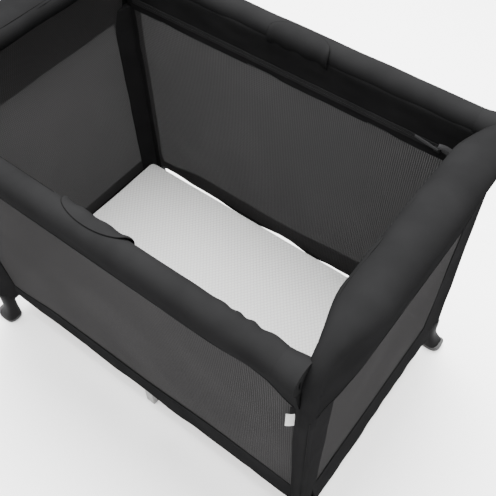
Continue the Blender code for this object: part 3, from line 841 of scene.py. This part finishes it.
def make_foot(end, sx, side, sy):
    """Boot-shaped moulded foot that flares towards the toe."""
    levels = [(0.124, 0.0152, 0.0, 2.1), (0.119, 0.0170, 0.0, 2.3), (0.100, 0.0172, 0.0, 2.5),
              (0.080, 0.0168, 0.0, 2.6), (0.062, 0.0174, 0.001, 2.7), (0.046, 0.0195, 0.0035, 2.8),
              (0.032, 0.0235, 0.0070, 3.0), (0.020, 0.0272, 0.0100, 3.1), (0.0122, 0.0290, 0.0115, 3.2)]
    rows = []
    for z, half_x, lead, power in levels:
        cx, cy = leg_at(z)
        half_y = 0.0168 + 0.6 * (half_x - 0.0168)
        outline = rounded_section((cx + lead, cy + 0.55 * lead), (half_x, half_y), power)
        rows.append([(sx * x, sy * y, z) for x, y in outline])
    foot = make_piece(f"{side}_{end}_boot", rows, PLASTIC, ring=True)
    finish_piece(foot, f"{end}_end", [f"{side}_{end}_foot"])


def make_sole(end, sx, side, sy):
    """Grey sole with a toe cap that rises outwards."""
    centre = (0.510, 0.326)
    levels = [(0.0, 0.0270, 0.0215), (0.0012, 0.0295, 0.0240), (0.005, 0.0310, 0.0250),
              (0.010, 0.0310, 0.0250), (0.0125, 0.0300, 0.0240), (0.0135, 0.0285, 0.0225)]
    rows = []
    for z, half_x, half_y in levels:
        outline = rounded_section(centre, (half_x, half_y), 3.0)
        rise = [0.010 * float(ease(x, centre[0] + 0.008, centre[0] + 0.030)) if z > 0.008 else 0.0
                for x, _ in outline]
        rows.append([(sx * x, sy * y, z + r) for (x, y), r in zip(outline, rise)])
    sole = make_piece(f"{side}_{end}_boot_sole", rows, RUBBER, ring=True)
    finish_piece(sole, f"{end}_end", [f"{side}_{end}_sole"])


def make_foot_arm(end, sx, side, sy):
    """The plate, web and pin with which a foot carries the base."""
    pin_x, root_x, z, radius = 0.430, 0.490, 0.098, 0.0085
    arc = np.radians(np.linspace(90, 270, 13))
    round_end = [(pin_x + radius * math.cos(t), z + radius * math.sin(t)) for t in arc]
    plate = round_end + [(root_x, z - radius), (root_x, z + radius)]
    web = [(0.4765, 0.0902), (0.4955, 0.0902), (0.4955, 0.1058), (0.4765, 0.1058)]
    pin = [(pin_x + 0.003 * math.cos(t), z + 0.003 * math.sin(t)) for t in circle(16)]
    for kind, outline, from_y, to_y in (("plate", plate, 0.2797, 0.2863), ("web", web, 0.2850, 0.3120),
                                        ("pin", pin, 0.2590, 0.2800)):
        rows = [[(sx * x, sy * y, height) for x, height in outline] for y in (from_y, to_y)]
        made = make_piece(f"{side}_{end}_foot_{kind}", rows, PLASTIC, ring=True)
        finish_piece(made, f"{end}_end", [f"{side}_{end}_foot"])


# ---- mattress ----
def make_mattress(end, sx):
    half_y, end_x, low, high = 0.286, 0.486, 0.1131, 0.1430
    corner, edge = 0.020, 0.009
    end_turn = np.linspace(0, math.pi / 2, 30)[1:]
    xs = np.concatenate([np.linspace(0, 0.44, 60), 0.44 + 0.046 * np.sin(end_turn)])
    rows = []
    for x in xs:
        plan = half_y - (corner - math.sqrt(max(0.0, corner**2 - max(0.0, x - end_x + corner) ** 2)))
        thick = (high - low) / 2 * math.sqrt(max(0.03, 1 - max(0.0, (x - end_x + edge) / edge) ** 2))
        middle = low + (high - low) / 2
        across = np.sin(np.linspace(-1, 1, 81) * math.pi / 2)
        top, bottom = [], []
        for a in across:
            round_off = math.sqrt(max(0.0, 1 - max(0.0, (abs(a) * plan - plan + edge) / edge) ** 2))
            top.append((sx * x, a * plan, middle + thick * round_off))
            bottom.append((sx * x, a * plan, middle - thick * round_off))
        rows.append(top + bottom[::-1][1:-1])
    rows = np.array(rows)
    soft = 0.0011 * ripple(rows[:, :, 0] * 16, rows[:, :, 1] * 16, 121) - 0.0011
    rows[:, :, 2] += np.where(rows[:, :, 2] > 0.135, soft, 0.0)
    pad = make_piece(f"{end}_mattress_cover", rows, KNIT, ring=True, planar=(0, 1))
    finish_piece(pad, None, [f"{end}_mattress"])
    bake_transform(pad)


# ---- put it together ----
CAD_FINISH = {"hoop": STEEL, "leg": STEEL, "rail": STEEL, "bracket": PLASTIC, "foot": PLASTIC,
              "beam": PLASTIC, "hinge": PLASTIC, "button": PLASTIC, "board": HARDBOARD, "slider": ZIP}
for node_name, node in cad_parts.items():
    kind = node_name.rsplit("_", 1)[-1]
    if node_name.endswith("centre_foot"):
        node.data.materials.clear()
        node.data.materials.append(CLEAR_RUBBER)
    elif kind in CAD_FINISH:
        node.data.materials.clear()
        node.data.materials.append(CAD_FINISH[kind])

for end_name, end_sign in ENDS.items():
    make_end_cover(end_name, end_sign)
    make_end_lines(end_name, end_sign)
    make_liner(end_name, end_sign)
    make_end_wall(end_name, end_sign)
    make_end_hem(end_name, end_sign)
    make_mattress(end_name, end_sign)
    for side_name, side_sign in SIDES.items():
        corner_of = (end_name, end_sign, side_name, side_sign)
        make_sleeve(*corner_of)
        make_upper_post(*corner_of)
        make_bracket(*corner_of)
        make_side_roll(*corner_of)
        make_roll_end(*corner_of)
        make_foot(*corner_of)
        make_sole(*corner_of)
        make_foot_arm(*corner_of)
for side_name, side_sign in SIDES.items():
    make_side_band(side_name, side_sign)
    make_side_mesh(side_name, side_sign)
    make_side_hem(side_name, side_sign)
    make_flap(side_name, side_sign)
make_zip()
make_zip_garage()
make_zip_pull()
make_label()


# ---- floor, light, camera ----
floor_mesh = bpy.data.meshes.new("floor")
floor_mesh.from_pydata([(-40, -40, 0), (40, -40, 0), (40, 40, 0), (-40, 40, 0)], [], [(0, 1, 2, 3)])
floor = bpy.data.objects.new("floor", floor_mesh)
bpy.context.scene.collection.objects.link(floor)
floor_material, _, floor_shader = new_material("pale_floor")
floor_shader.inputs["Base Color"].default_value = (0.93, 0.93, 0.93, 1)
floor_shader.inputs["Roughness"].default_value = 1.0
floor_shader.inputs["Specular IOR Level"].default_value = 0.0
floor_mesh.materials.append(floor_material)

world = bpy.data.worlds.new("studio")
world.use_nodes = True
tree = world.node_tree
direction = tree.nodes.new("ShaderNodeSeparateXYZ")
tree.links.new(tree.nodes.new("ShaderNodeTexCoord").outputs["Generated"], direction.inputs[0])
background = tree.nodes["Background"]
background.inputs[0].default_value = (1, 1, 1, 1)
tree.links.new(ramp(tree, direction.outputs[2], 0.05, 0.95, 0.35, 5.5), background.inputs[1])
bpy.context.scene.world = world


def add_area(name, place, target, size, power):
    lamp = bpy.data.lights.new(name, "AREA")
    lamp.shape = "DISK"
    lamp.size = size
    lamp.energy = power
    made = bpy.data.objects.new(name, lamp)
    made.location = place
    made.rotation_euler = (Vector(target) - Vector(place)).to_track_quat("-Z", "Y").to_euler()
    bpy.context.scene.collection.objects.link(made)


add_area("top_box", (-0.4, 0.8, 3.3), (0, 0, 0.4), 2.4, 420)

AZIMUTH, ELEVATION, ROLL = math.radians(37.428), math.radians(55.054), math.radians(-0.361)
back = Vector((math.sin(AZIMUTH) * math.cos(ELEVATION), -math.cos(AZIMUTH) * math.cos(ELEVATION),
               math.sin(ELEVATION)))
right = Vector((math.cos(AZIMUTH), math.sin(AZIMUTH), 0))
up = back.cross(right)
right, up = (math.cos(ROLL) * right + math.sin(ROLL) * up, math.cos(ROLL) * up - math.sin(ROLL) * right)
lens = bpy.data.cameras.new("camera")
lens.lens, lens.sensor_width = 48.87, 36.0
lens.shift_x, lens.shift_y = -0.0152, 0.0372
camera = bpy.data.objects.new("camera", lens)
camera.matrix_world = Matrix((right, up, back)).transposed().to_4x4()
camera.location = (0.6738, -0.6998, 1.6874)
bpy.context.scene.collection.objects.link(camera)
bpy.context.scene.camera = camera
